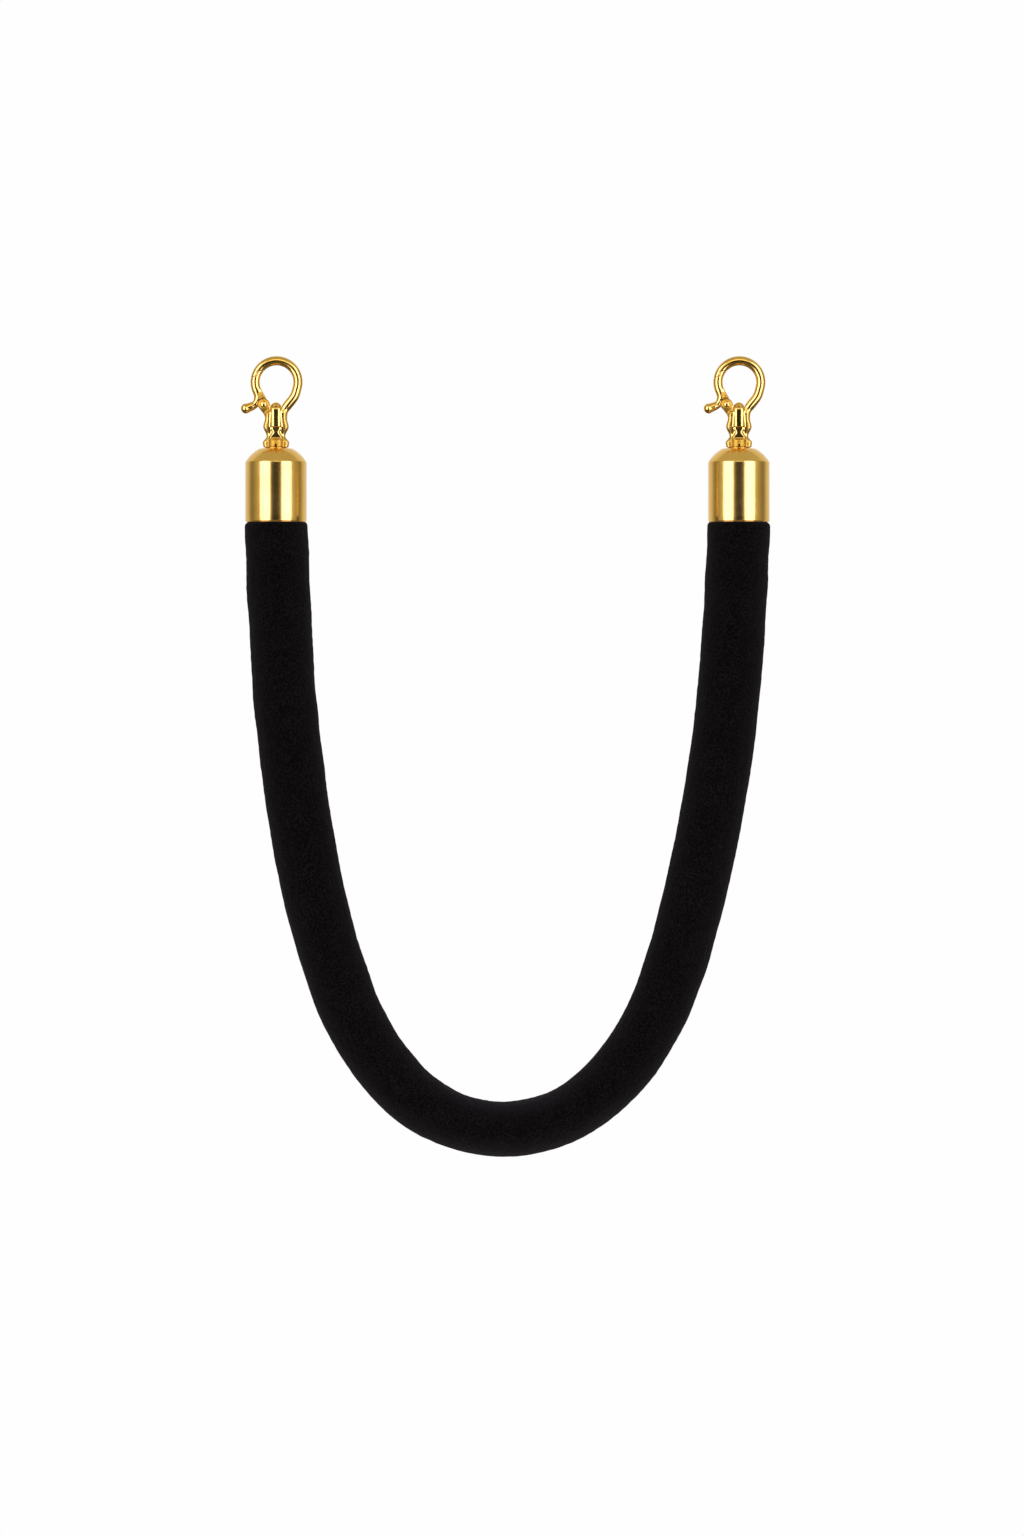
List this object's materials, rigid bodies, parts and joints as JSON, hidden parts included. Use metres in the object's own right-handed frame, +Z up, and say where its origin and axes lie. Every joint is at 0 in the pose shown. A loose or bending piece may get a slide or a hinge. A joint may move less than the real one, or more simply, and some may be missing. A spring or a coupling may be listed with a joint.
{
  "type": "barrier rope",
  "caption": "Padded velvet barrier rope hanging in a loop, with a brass ferrule and a sprung, swivelling snap hook at each end.",
  "frame": {"origin": "the point at the top of the left hook's ring, on its inner surface, where the ring bears on the post's eye", "axes": "+Z up, +X from the left hook towards the right hook as the rope hangs, +Y to the back, away from the viewer"},
  "size_m": [0.3709, 0.0472, 0.5595],
  "materials": {
    "velvet": "short cut-pile black velvet",
    "foam": "closed-cell foam rod",
    "cotton_cord": "braided cotton",
    "ferrule_brass": "satin brushed and lacquered",
    "hook_brass": "polished",
    "washer_bronze": "bright bronze",
    "plated_steel": "zinc plated",
    "spring_steel": "drawn wire",
    "timber": "turned hardwood"
  },
  "bodies": {
    "rope": {"velvet_sleeve": "velvet", "foam_core": "foam", "tension_cord": "cotton_cord", "left_ferrule": "ferrule_brass", "left_end_plug": "timber", "left_sleeve_binding": "plated_steel", "left_ferrule_screws": "ferrule_brass", "left_cord_anchor": "plated_steel", "left_stud_nut": "plated_steel", "left_spring_washer": "plated_steel", "left_swivel_washer": "washer_bronze", "left_swivel_stud": "hook_brass", "right_ferrule": "ferrule_brass", "right_end_plug": "timber", "right_sleeve_binding": "plated_steel", "right_ferrule_screws": "ferrule_brass", "right_cord_anchor": "plated_steel", "right_stud_nut": "plated_steel", "right_spring_washer": "plated_steel", "right_swivel_washer": "washer_bronze", "right_swivel_stud": "hook_brass"},
    "left_hook": {"left_hook_body": "hook_brass", "left_gate_pin": "hook_brass", "left_gate_spring": "spring_steel"},
    "left_gate": {"left_gate_lever": "hook_brass"},
    "right_hook": {"right_hook_body": "hook_brass", "right_gate_pin": "hook_brass", "right_gate_spring": "spring_steel"},
    "right_gate": {"right_gate_lever": "hook_brass"}
  },
  "joints": [
    {"name": "left_swivel", "type": "hinge", "parent": "rope", "child": "left_hook", "pos_m": [0, 0, -0.0574], "axis": [0, 0, 1], "continuous": true},
    {"name": "left_gate_hinge", "type": "hinge", "parent": "left_hook", "child": "left_gate", "pos_m": [-0.0085, 0, -0.0274], "axis": [0, 1, 0], "range_deg": [0, 50], "stiffness_Nm_per_rad": 0.02, "springref_deg": -34.38, "deforming": ["left_gate_spring"]},
    {"name": "right_swivel", "type": "hinge", "parent": "rope", "child": "right_hook", "pos_m": [0.324, 0, -0.0574], "axis": [0, 0, 1], "continuous": true},
    {"name": "right_gate_hinge", "type": "hinge", "parent": "right_hook", "child": "right_gate", "pos_m": [0.3155, 0, -0.0274], "axis": [0, 1, 0], "range_deg": [0, 50], "stiffness_Nm_per_rad": 0.02, "springref_deg": -34.38, "deforming": ["right_gate_spring"]}
  ]
}
